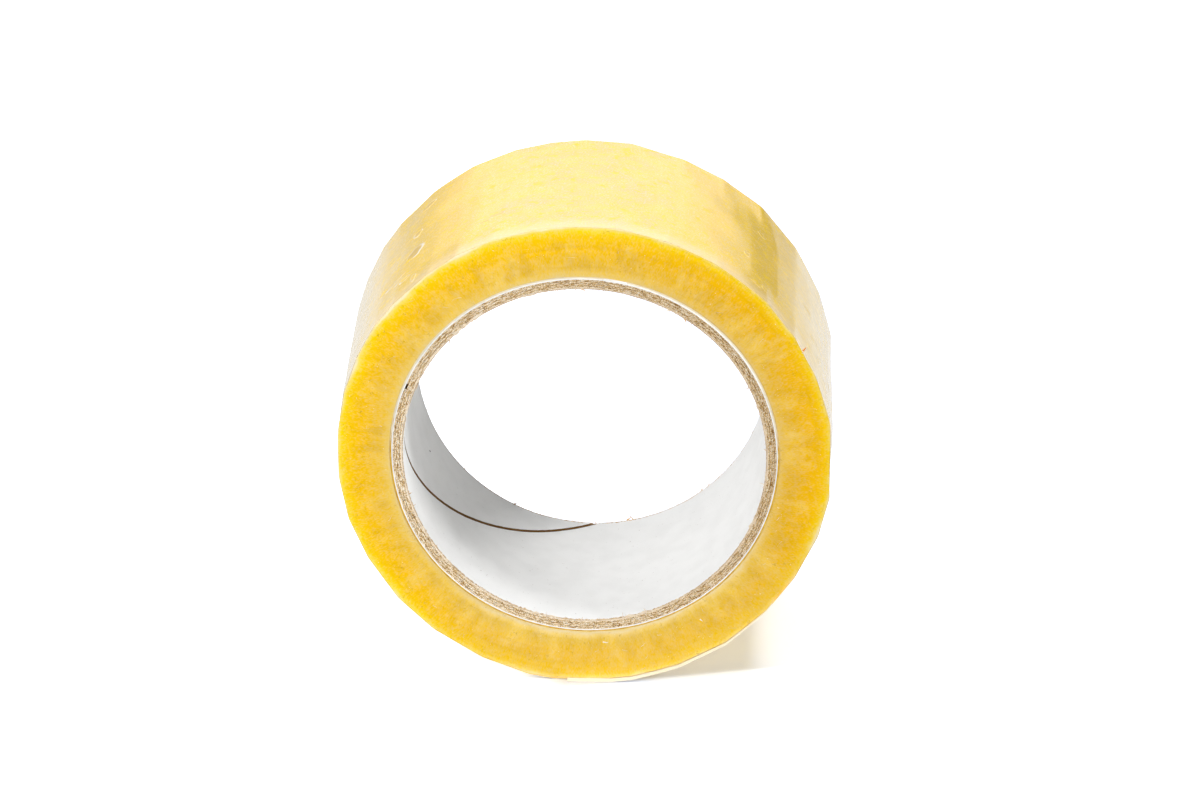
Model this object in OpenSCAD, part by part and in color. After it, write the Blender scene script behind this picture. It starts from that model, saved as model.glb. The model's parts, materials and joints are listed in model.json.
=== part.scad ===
// Roll of clear yellow packing tape on a spiral wound paper core, standing on its rim.
// The axis of the roll is Y, the front face looks to -Y, the origin is the middle of the bore.

/* [Core] */
// Bore of the core, which takes a dispenser hub
core_bore_d = 76.2; // [60:0.1:90]
// Length of the core along the axis
core_w = 48; // [19:0.5:75]
// Thickness of the white liner ply
liner_t = 0.16; // [0.1:0.01:0.4]
// Thickness of one board ply
board_t = 0.48; // [0.3:0.01:0.8]
// Thickness of the white cover ply
cover_t = 0.16; // [0.1:0.01:0.4]
// Glue line between two plies
glue_t = 0.03; // [0.01:0.01:0.1]

/* [Core seams] */
// Axial advance of the ply helix in one turn
seam_lead = 164; // [100:1:300]
// Open width of the liner seam, round the bore
liner_seam_w = 0.7; // [0.2:0.1:2]
// Open width of a board seam
board_seam_w = 1.5; // [0.2:0.1:3]
// Open width of the cover seam
cover_seam_w = 0.4; // [0.2:0.1:2]
// Where the liner seam meets the front face, degrees from +X towards +Z
liner_seam_at = 166; // [0:1:359]
// Where the seam of board ply 1 meets the front face
board_1_seam_at = 292; // [0:1:359]
// Where the seam of board ply 2 meets the front face
board_2_seam_at = 38; // [0:1:359]
// Where the seam of board ply 3 meets the front face
board_3_seam_at = 231; // [0:1:359]
// Where the seam of board ply 4 meets the front face
board_4_seam_at = 157; // [0:1:359]
// Where the cover seam meets the front face
cover_seam_at = 80; // [0:1:359]

/* [Tape] */
// Width of the tape
tape_w = 48; // [19:0.5:75]
// Length of tape on the roll, metres
tape_length_m = 66; // [10:1:132]
// Thickness of the carrier film
film_t = 0.032; // [0.02:0.001:0.08]
// Thickness of the adhesive coat
adhesive_t = 0.018; // [0.01:0.001:0.05]
// Turns that sit apart on the core under the main winding
first_turns = 4; // [1:1:10]
// Hairline between the first turns and the main winding
turn_gap = 0.04; // [0.01:0.01:0.2]

/* [Outline of the winding] */
// Height of the lumps that trapped air leaves in the outline
lump_h = 0.14; // [0:0.01:0.6]
// How far the loosened turns sag out at the foot of the roll
sag_h = 0.6; // [0:0.05:2]
// Half width of the sagging part, degrees
sag_spread = 22; // [10:1:40]
// Depth of the flat that the roll stands on
flat_depth = 0.5; // [0.3:0.05:2]

/* [Free end] */
// Where the cut end of the tape lies, degrees from +X towards +Z
end_at = 266; // [240:1:300]
// Length of the loosened end, degrees of the rim
end_span = 54; // [20:1:120]
// Gap under the loosened end at its two ends
end_gap = 0.1; // [0.05:0.01:0.5]
// Further gap at the middle of the loosened end
end_lift = 0.3; // [0:0.05:2]
// How far the loosened end stands out of the front face
end_shift = 0.8; // [0:0.1:3]

/* [Hidden] */
$fn = 180;

// radii of the core, from the bore outwards
bore_r = core_bore_d / 2;
board_r = bore_r + liner_t + glue_t;
board_pitch = board_t + glue_t;
cover_r = board_r + 4 * board_pitch;
core_r = cover_r + cover_t;

// the strip fills the ring between the core and the rim
tape_t = film_t + adhesive_t;
first_in_r = core_r + glue_t;
first_r = first_in_r + first_turns * tape_t;
rim_r = sqrt(first_in_r * first_in_r + tape_length_m * 1000 * tape_t / PI);

// the outline is stepped so that the loosened end starts and stops on a step
rim_steps = 360;
end_steps = round(end_span * rim_steps / 360);
foot_at = 268;
foot_z = rim_r + sag_h - flat_depth;

paper_white = [0.93, 0.93, 0.92];
board_grey = [0.55, 0.48, 0.40];
tape_yellow = [0.95, 0.76, 0.22];
film_pale = [0.97, 0.93, 0.78];
adhesive_cream = [0.96, 0.88, 0.60];

// angle of outline step i, counted from the cut end
function step_at(i) = end_at + i * 360 / rim_steps;

// shortest way round from the foot of the roll to angle a
function from_foot(a) = (a - foot_at + 540) % 360 - 180;

function lumps(a) = lump_h / 2 * (sin(9 * a + 40) + 0.8 * sin(17 * a + 110) + 0.6 * sin(29 * a + 15));

function sag(a) = sag_h * exp(-pow(from_foot(a) / sag_spread, 2));

// one tape thickness is lost on each turn inwards
function spiral_in(a) = tape_t * (1 + (a - end_at) / 360);

function round_r(a, out) = rim_r - spiral_in(a) + lumps(a) + sag(a) + out;

function foot_r(a, out) = sin(a) < -0.5 ? (foot_z - spiral_in(a) + out) / -sin(a) : 2 * rim_r;

// point of the outline at angle a, a distance out of the main winding, cut flat at the foot
function rim_point(a, out, foot_out) = min(round_r(a, out), foot_r(a, foot_out)) * [cos(a), sin(a)];

// height of the loosened end over the winding
function lift(i) = end_gap + end_lift * sin(180 * i / end_steps);

// line along the strip from one outline step to another, a distance out of the main winding
function stuck_line(from, to, out) = [for (i = [from:to]) rim_point(step_at(i), out, out)];

// the same on the loosened end, which rises off the winding and lies flat on the floor at the foot
function loose_line(out) = [for (i = [0:end_steps]) rim_point(step_at(i), lift(i) + out, end_gap + out)];

function backwards(line) = [for (i = [len(line) - 1:-1:0]) line[i]];

module across(w) rotate([90, 0, 0]) linear_extrude(height = w, center = true) children();

module ring(r_in, r_out, w) {
    rotate([90, 0, 0]) difference() {
        cylinder(r = r_out, h = w, center = true);
        cylinder(r = r_in, h = w + 2, center = true);
    }
}

// the gap that a ply wound on a helix leaves between its edges
module helical_gap(r_in, r_out, gap_w, front_at) {
    twist_all = 360 * (core_w + 2) / seam_lead;
    back_at = front_at + 360 * (core_w + 1) / seam_lead;
    rotate([90, 0, 0]) rotate(back_at)
        linear_extrude(height = core_w + 2, center = true, twist = twist_all, slices = 36, $fn = 4)
            translate([r_in - 0.1, -gap_w / 2]) square([r_out - r_in + 0.2, gap_w]);
}

module ply(r_in, t, gap_w, front_at) {
    difference() {
        ring(r_in, r_in + t, core_w);
        helical_gap(r_in, r_in + t, gap_w, front_at);
    }
}

module core_liner() color(paper_white) ply(bore_r, liner_t, liner_seam_w, liner_seam_at);

module core_board_1() color(board_grey) ply(board_r, board_t, board_seam_w, board_1_seam_at);

module core_board_2() color(board_grey) ply(board_r + board_pitch, board_t, board_seam_w, board_2_seam_at);

module core_board_3() color(board_grey) ply(board_r + 2 * board_pitch, board_t, board_seam_w, board_3_seam_at);

module core_board_4() color(board_grey) ply(board_r + 3 * board_pitch, board_t, board_seam_w, board_4_seam_at);

module core_cover() color(paper_white) ply(cover_r, cover_t, cover_seam_w, cover_seam_at);

module tape_first_turns() color(tape_yellow) ring(first_in_r, first_r, tape_w);

module tape_winding() color(tape_yellow) difference() {
    across(tape_w) polygon(stuck_line(0, rim_steps, 0));
    rotate([90, 0, 0]) cylinder(r = first_r + turn_gap, h = tape_w + 2, center = true);
}

// a layer of the strip, from its inner line to its outer line
module layer(inner, outer) across(tape_w) polygon(concat(outer, backwards(inner)));

// the outer turn never comes back over itself: the least way between its two ends, on their points
outer_turn = stuck_line(end_steps, rim_steps, tape_t);
echo(outer_turn_gap = norm(outer_turn[0] - outer_turn[len(outer_turn) - 1]));

module tape_outer_turn() color(film_pale) layer(stuck_line(end_steps, rim_steps, 0), outer_turn);

module free_end_film() color(film_pale) translate([0, -end_shift, 0])
    layer(loose_line(adhesive_t), loose_line(tape_t));

module free_end_adhesive() color(adhesive_cream) translate([0, -end_shift, 0])
    layer(loose_line(0), loose_line(adhesive_t));

core_liner();
core_board_1();
core_board_2();
core_board_3();
core_board_4();
core_cover();
tape_first_turns();
tape_winding();
tape_outer_turn();
free_end_film();
free_end_adhesive();
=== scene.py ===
import json
import math

import bmesh
import bpy
import numpy as np
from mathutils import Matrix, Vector


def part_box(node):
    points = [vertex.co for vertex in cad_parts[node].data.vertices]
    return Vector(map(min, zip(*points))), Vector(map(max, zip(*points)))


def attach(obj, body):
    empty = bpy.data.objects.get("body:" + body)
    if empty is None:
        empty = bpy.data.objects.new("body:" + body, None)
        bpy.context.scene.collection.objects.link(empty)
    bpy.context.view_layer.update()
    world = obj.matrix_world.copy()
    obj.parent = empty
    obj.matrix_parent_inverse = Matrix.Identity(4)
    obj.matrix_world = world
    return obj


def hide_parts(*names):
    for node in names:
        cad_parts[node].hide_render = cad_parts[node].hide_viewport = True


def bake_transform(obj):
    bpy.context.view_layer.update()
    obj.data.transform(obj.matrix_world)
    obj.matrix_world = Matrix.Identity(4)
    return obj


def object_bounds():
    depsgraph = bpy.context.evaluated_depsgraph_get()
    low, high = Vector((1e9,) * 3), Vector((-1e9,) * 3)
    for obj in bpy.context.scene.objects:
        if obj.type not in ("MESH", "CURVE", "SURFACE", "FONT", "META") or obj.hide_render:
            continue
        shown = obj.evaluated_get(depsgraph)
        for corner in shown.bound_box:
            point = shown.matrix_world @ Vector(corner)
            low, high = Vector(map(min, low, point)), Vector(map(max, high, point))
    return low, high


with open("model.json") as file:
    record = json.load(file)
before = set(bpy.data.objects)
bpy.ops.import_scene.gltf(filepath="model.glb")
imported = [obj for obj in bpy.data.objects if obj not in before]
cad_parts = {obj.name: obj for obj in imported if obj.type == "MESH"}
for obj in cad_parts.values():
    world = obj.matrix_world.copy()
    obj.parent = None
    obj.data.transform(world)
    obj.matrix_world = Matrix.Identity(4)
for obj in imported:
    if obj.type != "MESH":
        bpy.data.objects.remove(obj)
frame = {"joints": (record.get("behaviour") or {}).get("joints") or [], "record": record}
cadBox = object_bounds()
mm = 0.001
fullTurn = 2 * math.pi

# the axis of the roll is Y, the front face looks to -Y, angles run from +X towards +Z
# lengths are in millimetres up to makePiece, and on the stage in metres
mounts = {m["name"]: m for m in frame["record"]["mounts"]}
boreR = mounts["core_bore"]["dims"]["r_mm"]
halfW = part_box("tape_winding")[1][1] / mm
footZ = -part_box("tape_winding")[0][2] / mm
floorZ = cadBox[0][2] / mm
peel = frame["joints"][0]
peelAt = math.atan2(peel["pos_m"][2], peel["pos_m"][0]) % fullTurn
boardNodes = ["core_board_%d" % k for k in (1, 2, 3, 4)]


def ringR(node):
    low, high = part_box(node)
    return (high[0] - low[0]) / 2 / mm


plyR = [ringR(node) for node in ("core_liner", *boardNodes, "core_cover")]
firstR = ringR("tape_first_turns")
rimR = ringR("tape_outer_turn")
print("frame read: bore", boreR, "rim", round(rimR, 2), "half width", halfW)


rollShape = {
    "ovalHeight": 0.22, "ovalAt": math.radians(-47),  # the whole roll is a little out of round
    # the turns lie in flats between ridges, at these angles round
    "ridges": [2, 14, 21, 27, 34, 41, 49.5, 55, 60.5, 66, 72, 78, 85, 92, 97, 102.5, 109, 117, 122, 128.5, 134, 138.5,
               146, 151, 158, 165, 173, 180, 188, 201, 212, 225, 239, 249, 261, 274, 286, 299, 312, 325.5, 337.5, 349],
    "ridgeHeight": 0.085, "ridgeRound": math.radians(0.9), "flatness": 0.75,
    "ridgeLean": math.radians(2.0), "leanCells": (16, 2),
    "flatMore": 0.2, "flatAt": math.radians(45), "flatSpread": math.radians(10),  # one facet on the right is flatter
    "lumpHeight": 0.12, "lumpCells": (31, 5),  # trapped air under the turns
    # towards the two rims the flats are longer
    "rimRidges": [9.4, 20, 32.5, 45, 57.5, 69, 82, 93, 101, 110, 120, 129, 140, 148, 157, 166, 176, 187, 198, 209, 221,
                  232, 244, 256, 268, 281, 292, 304, 316, 328, 340, 351],
    "rimFlatness": 0.95, "rimFrom": 10.0, "rimHeight": 0.14,
    "sagHeight": 0.6, "sagAt": math.radians(268), "sagSpread": math.radians(22),
    "rimExtra": 0.22, "underFilm": 0.08,
}


# random heights on a lattice that closes on itself around, joined by smooth steps
def smoothNoise(around, across, cells, seed):
    nAround, nAcross = cells
    heights = np.random.default_rng(seed).uniform(-1, 1, (nAround, nAcross + 2))
    a, b = (around % 1.0) * nAround, np.clip(across, 0, 1) * nAcross
    i, j = np.floor(a).astype(int), np.floor(b).astype(int)
    fa, fb = a - i, b - j
    fa, fb = fa * fa * (3 - 2 * fa), fb * fb * (3 - 2 * fb)
    i0, i1 = i % nAround, (i + 1) % nAround
    low = heights[i0, j] * (1 - fb) + heights[i0, j + 1] * fb
    high = heights[i1, j] * (1 - fb) + heights[i1, j + 1] * fb
    return low * (1 - fa) + high * fa


def smoothStep(low, high, x):
    t = np.clip((x - low) / (high - low), 0, 1)
    return t * t * (3 - 2 * t)


# a bell curve over the shortest way round from an angle
def bell(theta, at, spread):
    way = (theta - at + math.pi) % fullTurn - math.pi
    return np.exp(-(way / spread) ** 2)


def oval(theta):
    return rollShape["ovalHeight"] * np.cos(2 * (theta - rollShape["ovalAt"]))


# straight chords from ridge to ridge, as a height over the circle through the rim
def flats(theta, ridges, height, seed):
    ridges = np.radians(ridges)
    heights = rimR + height * np.random.default_rng(seed).uniform(-1, 1, len(ridges))
    t = theta % fullTurn
    k = np.searchsorted(ridges, t) % len(ridges)
    whole = (ridges[k] - ridges[k - 1]) % fullTurn
    part = (t - ridges[k - 1]) % fullTurn
    low, high = heights[k - 1], heights[k]
    return low * high * np.sin(whole) / (low * np.sin(part) + high * np.sin(whole - part)) - rimR


# radius of the wound surface: a circle, made oval and flatted, with lumps of air, sagging out at the foot
def roundR(theta, y):
    shape = rollShape
    around, across = theta / fullTurn, (y / halfW + 1) / 2
    lumps = shape["lumpHeight"] * smoothNoise(around, across, shape["lumpCells"], 11)
    leaning = theta + shape["ridgeLean"] * smoothNoise(around, across, shape["leanCells"], 13)
    turns = np.linspace(-1, 1, 5) * shape["ridgeRound"]  # a mean over these rounds the ridges
    chords = sum(flats(leaning + turn, shape["ridges"], shape["ridgeHeight"], 12) for turn in turns)
    flatness = shape["flatness"] + shape["flatMore"] * bell(theta, shape["flatAt"], shape["flatSpread"])
    chords = flatness * chords / len(turns)
    corners = sum(flats(leaning + turn / 2, shape["rimRidges"], shape["rimHeight"], 14) for turn in turns)
    corners = shape["rimFlatness"] * corners / len(turns)
    toRim = smoothStep(shape["rimFrom"], halfW, np.abs(y))
    sag = shape["sagHeight"] * bell(theta, shape["sagAt"], shape["sagSpread"])
    return rimR + shape["rimExtra"] + oval(theta) + lumps + chords * (1 - toRim) + corners * toRim + sag


# the same surface a distance further out, cut flat where the roll stands
def windR(theta, y, out=0.0, footOut=None):
    down = np.maximum(-np.sin(theta), 1e-3)
    flat = np.where(down > 0.5, (footZ + (out if footOut is None else footOut)) / down, 1e3)
    return np.minimum(roundR(theta, y) - rollShape["underFilm"] + out, flat)


def polarPoints(r, theta, y):
    return np.stack(np.broadcast_arrays(r * np.cos(theta), y, r * np.sin(theta)), -1)


# the four-cornered faces of a grid of point numbers
def quads(a):
    return np.stack([a[..., :-1, :-1], a[..., 1:, :-1], a[..., 1:, 1:], a[..., :-1, 1:]], -1).reshape(-1, 4)


# the outer sides of a block of points (around, across, out): six, or four where it closes on itself
def blockShell(points, closed=False):
    nS, nY, nR = points.shape[:3]
    index = np.arange(nS * nY * nR).reshape(nS, nY, nR)
    if closed:
        index = np.concatenate([index, index[:1]], 0)
    sides = [index[:, :, 0], index[:, :, -1].T, index[:, -1, :], index[:, 0, :].T]
    if not closed:
        sides += [index[-1].T, index[0]]
    used, faces = np.unique(np.concatenate([quads(side) for side in sides]), return_inverse=True)
    return points.reshape(-1, 3)[used], faces.reshape(-1, 4), used


def addObject(name, data):
    thing = bpy.data.objects.new(name, data)
    bpy.context.scene.collection.objects.link(thing)
    return thing


def makePiece(name, verts, faces, material, nodes=(), sharp=40, attributes=None):
    mesh = bpy.data.meshes.new(name)
    mesh.from_pydata((verts * mm).tolist(), [], faces.tolist())
    for key, values in (attributes or {}).items():
        mesh.attributes.new(key, "FLOAT", "POINT").data.foreach_set("value", values.astype(np.float32))
    mesh.polygons.foreach_set("use_smooth", np.ones(len(mesh.polygons), bool))
    mesh.set_sharp_from_angle(angle=math.radians(sharp))
    mesh.update()
    mesh.materials.append(material)
    piece = addObject(name, mesh)
    if nodes:
        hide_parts(*nodes)
    print("made", name, len(mesh.polygons), "faces")
    return piece


def makeBlock(name, points, material, node, closed=False):
    verts, faces, _ = blockShell(points, closed)
    return makePiece(name, verts, faces, material, [node])


def paint(colour):
    s = np.array(colour) / 255
    linear = np.where(s <= 0.04045, s / 12.92, ((s + 0.055) / 1.055) ** 2.4)
    return (*linear.tolist(), 1.0)


# links a value to a socket or sets it; red, green and blue up to 255 are a colour to paint with
def feed(socket, value):
    if isinstance(value, NodeValue):
        value.tree.links.new(value.socket, socket)
    else:
        socket.default_value = paint(value) if socket.type == "RGBA" and len(value) == 3 else value


# adds a node, sets and feeds it, and gives one of its outputs, or all of them by name
def addNode(tree, kind, out=None, inputs=(), **settings):
    node = tree.nodes.new("ShaderNode" + kind)
    for key, value in settings.items():
        setattr(node, key, value)
    for key, value in dict(inputs).items():
        feed(node.inputs[key], value)
    if out is None:
        return {socket.name: NodeValue(tree, socket) for socket in node.outputs}
    return NodeValue(tree, node.outputs[out])


# an output in a node tree; sums, differences and products of it are math nodes
class NodeValue:
    def __init__(self, tree, socket):
        self.tree, self.socket = tree, socket

    def calc(self, operation, *others):
        return addNode(self.tree, "Math", 0, enumerate((self, *others)), operation=operation)

    def __add__(self, other):
        return self.calc("ADD", other)

    def __sub__(self, other):
        return self.calc("SUBTRACT", other)

    def __mul__(self, other):
        return self.calc("MULTIPLY", other)

    def __truediv__(self, other):
        return self.calc("DIVIDE", other)

    def __abs__(self):
        return self.calc("ABSOLUTE")

    # runs from toLow to toHigh while the value runs from low to high
    def step(self, low, high, toLow=0.0, toHigh=1.0, kind="SMOOTHSTEP"):
        ends = {"From Min": low, "From Max": high, "To Min": toLow, "To Max": toHigh}
        return addNode(self.tree, "MapRange", 0, {"Value": self, **ends}, interpolation_type=kind)


def mixColour(factor, first, second, blend="MIX"):
    inputs = {0: factor, 6: first, 7: second}  # by number, because the node has an A and a B for each type
    return addNode(factor.tree, "Mix", 2, inputs, data_type="RGBA", blend_type=blend)


# lays a colour over another where a value runs from low to high, at most so strongly, within a mask
def lay(colour, value, over, low, high, most=1.0, within=None):
    strength = value.step(low, high, 0.0, most)
    return mixColour(strength if within is None else strength * within, colour, over)


def colourRamp(value, stops):
    node = value.tree.nodes.new("ShaderNodeValToRGB")
    elements = node.color_ramp.elements
    while len(elements) < len(stops):
        elements.new(0.5)
    for element, (place, colour) in zip(elements, stops):
        element.position, element.color = place, paint(colour)
    feed(node.inputs[0], value)
    return NodeValue(value.tree, node.outputs[0])


def splitXYZ(vector):
    return addNode(vector.tree, "SeparateXYZ", None, {0: vector})


def vectorLength(vector):
    return addNode(vector.tree, "VectorMath", "Value", {0: vector}, operation="LENGTH")


def objectPlace(tree):
    return addNode(tree, "TexCoord", "Object")


def attribute(tree, name):
    return addNode(tree, "Attribute", "Fac", attribute_name=name)


def newGroup(name, **inputs):
    group = bpy.data.node_groups.new(name, "ShaderNodeTree")
    for key, value in inputs.items():
        group.interface.new_socket(key, in_out="INPUT", socket_type="NodeSocketFloat").default_value = value
    given = group.nodes.new("NodeGroupInput").outputs
    return group, {key: NodeValue(group, given[key]) for key in inputs}


def closeGroup(group, **outputs):
    for key, value in outputs.items():
        kind = "NodeSocketVector" if value.socket.type == "VECTOR" else "NodeSocketFloat"
        group.interface.new_socket(key, in_out="OUTPUT", socket_type=kind)
    given = group.nodes.new("NodeGroupOutput").inputs
    for key, value in outputs.items():
        feed(given[key], value)
    return group


def useGroup(tree, group, **values):
    return addNode(tree, "Group", None, values, node_tree=group)


# where a point lies on the roll: way round as a unit vector, radius and place across in millimetres
def makeRollPlace():
    group, _ = newGroup("rollPlace")
    place = splitXYZ(objectPlace(group))
    flat = addNode(group, "CombineXYZ", 0, {"X": place["X"], "Z": place["Z"]})
    around = addNode(group, "VectorMath", 0, {0: flat}, operation="NORMALIZE")
    ways = splitXYZ(around)
    return closeGroup(group, Around=around, Up=ways["Z"], Right=ways["X"], Radius=vectorLength(flat) / mm,
                      Across=place["Y"] / mm)


# noise that follows the winding: so many cells to a radian round, to a millimetre of radius and across
def makeWoundGrain():
    group, given = newGroup("woundGrain", Turns=20.0, Radial=0.2, Crosswise=0.2, Detail=2.0, Seed=0.0)
    place = useGroup(group, rollPlace)
    scaled = addNode(group, "VectorMath", 0, {0: place["Around"], "Scale": given["Turns"]}, operation="SCALE")
    rise = place["Radius"] * given["Radial"] + place["Across"] * given["Crosswise"] + given["Seed"]
    shift = addNode(group, "CombineXYZ", 0, {"Y": rise})
    where = addNode(group, "VectorMath", 0, {0: scaled, 1: shift}, operation="ADD")
    inputs = {"Vector": where, "Scale": 1.0, "Detail": given["Detail"]}
    return closeGroup(group, Fac=addNode(group, "TexNoise", "Fac", inputs))


# paper pulp: long pale fibres, dark specks and a soft cloud, each a noise of its own scale, detail and distortion
def makePulp():
    group, given = newGroup("paperPulp", Fibres=1.0, Seed=0.0)
    shift = addNode(group, "CombineXYZ", 0, {"X": given["Seed"]})
    where = addNode(group, "VectorMath", 0, {0: objectPlace(group), 1: shift}, operation="ADD")
    kinds, noises = {"Fibre": (3200.0, 3.0, 2.4), "Speck": (4600.0, 1.0, 0.3), "Cloud": (420.0, 3.0, 0.0)}, {}
    for key, (scale, detail, distortion) in kinds.items():
        inputs = {"Vector": where, "Scale": given["Fibres"] * scale, "Detail": detail, "Distortion": distortion}
        noises[key] = addNode(group, "TexNoise", "Fac", inputs)
    return closeGroup(group, **noises)


rollPlace = makeRollPlace()
woundGrain = makeWoundGrain()
paperPulp = makePulp()


# a wound noise for each row of the look's noises: cells round, radial and across, then detail and seed
def woundNoises(tree, look, seed=0.0):
    noises = {}
    for key, (turns, radial, crosswise, detail, ownSeed) in look["noises"].items():
        noises[key] = useGroup(tree, woundGrain, Turns=turns, Radial=radial, Crosswise=crosswise, Detail=detail,
                               Seed=ownSeed + seed)["Fac"]
    return noises


def onRoll(tree, look, seed=0.0):
    return useGroup(tree, rollPlace), woundNoises(tree, look, seed)


def newMaterial(name):
    material = bpy.data.materials.new(name)
    material.use_nodes = True
    return material, material.node_tree


# gives the shader its colour, a roughness that follows a value, the constants and a bump that follows a height
def dress(material, look, colour, uneven, height=None, more=()):
    tree = material.node_tree
    inputs = {"Base Color": colour, "Roughness": uneven.step(*look["roughness"]), **look["shader"], **dict(more)}
    if height:
        strength, distance = look["bump"]
        bump = {"Height": height, "Strength": strength, "Distance": distance}
        inputs["Normal"] = addNode(tree, "Bump", "Normal", bump)
    for key, value in inputs.items():
        feed(tree.nodes["Principled BSDF"].inputs[key], value)
    return material


# in these dictionaries a colour with numbers after it is laid on where a value runs between the first two,
# and the third is how strong it gets
tapeEdge = {
    "inner": 40.7, "outer": 52.1,  # radii that the colours run between
    # painted light: towards the outer radius both ramps turn saturated and then pale, for light that comes through the
    # tape at the rim; the foot ramp is duller, painted shade where less of it comes through
    "clear": [(0.0, (235, 206, 138)), (0.05, (237, 204, 114)), (0.12, (239, 201, 95)), (0.2, (239, 196, 78)),
              (0.34, (241, 195, 69)), (0.47, (246, 197, 58)), (0.6, (249, 197, 40)), (0.73, (252, 202, 24)),
              (0.82, (254, 208, 18)), (0.91, (254, 220, 62)), (0.96, (254, 230, 120)), (1.0, (254, 242, 200))],
    "foot": [(0.0, (238, 210, 130)), (0.05, (242, 221, 170)), (0.12, (241, 210, 122)), (0.2, (235, 198, 91)),
             (0.34, (235, 193, 77)), (0.47, (238, 194, 79)), (0.6, (238, 193, 74)), (0.73, (238, 195, 68)),
             (0.82, (241, 198, 68)), (0.91, (245, 206, 78)), (0.96, (252, 220, 108)), (1.0, (253, 232, 170))],
    "footRange": (0.45, 0.85), "footWay": (0.26, 0.966),  # the foot, painted in shade, lies down and a little to the right
    "rightTint": (247, 240, 222), "rightRange": (0.3, 0.95), "rightUp": 0.3,  # painted shade: the face darker on the right, away from the light
    "beltFrom": (0.02, 0.22), "beltTo": (0.92, 0.5),  # where haze and smudges begin and end
    "haze": ((250, 216, 112), 0.47, 0.68, 0.5), "dust": ((255, 244, 206), 0.83, 0.88, 0.8),
    "smudgeColour": (214, 168, 58), "smudge": (0.44, 0.72, 0.0, 0.4), "cloud": (0.5, 0.75, 0.0, 0.1),
    "hairColour": (176, 128, 36), "hair": (0.011, 0.003, 0.0, 0.45), "hairPlace": (0.52, 0.6),
    "grain": 0.34, "cloudGrain": 0.2, "wander": 0.16, "layers": 0.4,
    "roughness": (0.3, 0.7, 0.42, 0.62), "bump": (0.2, 0.00006),
    "shader": {"IOR": 1.5, "Specular IOR Level": 0.06},
    "noises": {"wander": (9, 0.1, 0, 2, 3), "haze": (10, 0.07, 0.1, 2, 19),
               "smudge": (16, 0.16, 0.1, 3, 7), "cloud": (42, 0.7, 0.3, 3, 57),
               "grain": (150, 1.6, 1, 2, 1), "line": (34, 0.75, 0.2, 1.5, 71),
               "where": (22, 0.4, 0.2, 2, 75), "dust": (130, 2.6, 1, 0, 83),
               "layers": (2, 9, 0, 1, 5)},
}


def makeTapeEdge():
    material, tree = newMaterial("tapeEdge")
    place, noise = onRoll(tree, tapeEdge)
    grain, cloud = noise["grain"], noise["cloud"]
    t = place["Radius"].step(tapeEdge["inner"], tapeEdge["outer"], kind="LINEAR")
    t = t + (noise["wander"] - 0.5) * tapeEdge["wander"]
    clear, foot = colourRamp(t, tapeEdge["clear"]), colourRamp(t, tapeEdge["foot"])
    right, down = tapeEdge["footWay"]
    # painted shade: the duller ramp is laid on towards the foot
    colour = lay(clear, place["Right"] * right - place["Up"] * down, foot, *tapeEdge["footRange"])
    # painted shade: darker towards the right, away from the light
    shadeRight = (place["Up"] * tapeEdge["rightUp"] + place["Right"]).step(*tapeEdge["rightRange"])
    colour = mixColour(shadeRight, colour, tapeEdge["rightTint"], "MULTIPLY")
    belt = t.step(*tapeEdge["beltFrom"]) * t.step(*tapeEdge["beltTo"])
    # pale bands of haze that run in along the radius, where air lies between the turns
    colour = lay(colour, noise["haze"], *tapeEdge["haze"], within=belt)
    # dull smudges between them and the fine grain of the cut edges
    dull = noise["smudge"].step(*tapeEdge["smudge"]) + cloud.step(*tapeEdge["cloud"])
    colour = mixColour(dull * belt, colour, tapeEdge["smudgeColour"])
    rich = (grain - 0.5) * tapeEdge["grain"] + (cloud - 0.5) * tapeEdge["cloudGrain"] + 1.0
    colour = addNode(tree, "HueSaturation", 0, {"Saturation": rich, "Color": colour})
    # short dark hairs where the adhesive has drawn out, and pale specks of dust
    hair = abs(noise["line"] - 0.5).step(*tapeEdge["hair"]) * noise["where"].step(*tapeEdge["hairPlace"])
    colour = mixColour(hair, colour, tapeEdge["hairColour"])
    colour = lay(colour, noise["dust"], *tapeEdge["dust"])
    return dress(material, tapeEdge, colour, grain, noise["layers"] * tapeEdge["layers"] + grain)


tapeFilm = {
    # milk: milky over the top, partly for air between the turns and partly a painted sheen
    "gold": (253, 213, 62), "pale": ((253, 215, 78), 0.44, 0.66), "milk": ((232, 195, 122), 0.92, 1.01, 0.9),
    "mottled": ((251, 206, 40), 0.44, 0.72, 0.5), "dashed": ((253, 226, 178), 0.35, 0.65, 0.1),
    "speckled": ((251, 206, 40), 0.4, 0.62, 0.78), "dry": ((253, 226, 178), 0.48, 0.3, 0.6),
    "marked": ((250, 211, 18), 0.57, 0.66, 0.85),
    "border": ((253, 226, 178), 6.5 - halfW, 0.8 - halfW, 0.55),  # painted highlight along the front rim
    "side": ((230, 212, 168), 0.76, 0.96, 0.6),  # painted reflection: paler on the flanks, where the film mirrors the white floor at a glancing angle
    "rim": (253, 250, 240), "hollow": (228, 187, 76),  # of the blisters
    "airyCloud": 0.3, "milkPatch": (0.76, 0.38),
    "coat": (0.35, 0.65, 1.0, 0.9),  # it mirrors less where the adhesive has wetted it out
    "wet": {"dash": (0.42, 0.66, 0.0, 0.25), "mottle": (0.5, 0.66, 0.0, 0.35), "mark": (0.57, 0.66, 0.0, 0.4)},
    "roughness": (0.35, 0.65, 0.2, 0.26), "bump": (0.07, 0.0001), "dashRelief": 0.04,
    "shader": {"IOR": 1.5, "Coat Roughness": 0.07, "Coat IOR": 1.5, "Specular IOR Level": 0.25},
    "noises": {"cloud": (7, 0, 0.16, 3, 2), "patch": (9, 0, 0.36, 3, 12),
               "mottle": (24, 0, 0.8, 4, 31), "dash": (40, 0, 2.2, 3, 23),
               "speckle": (140, 0, 2.8, 2, 37), "mark": (24, 0, 0.75, 2.5, 47)},
}


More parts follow.
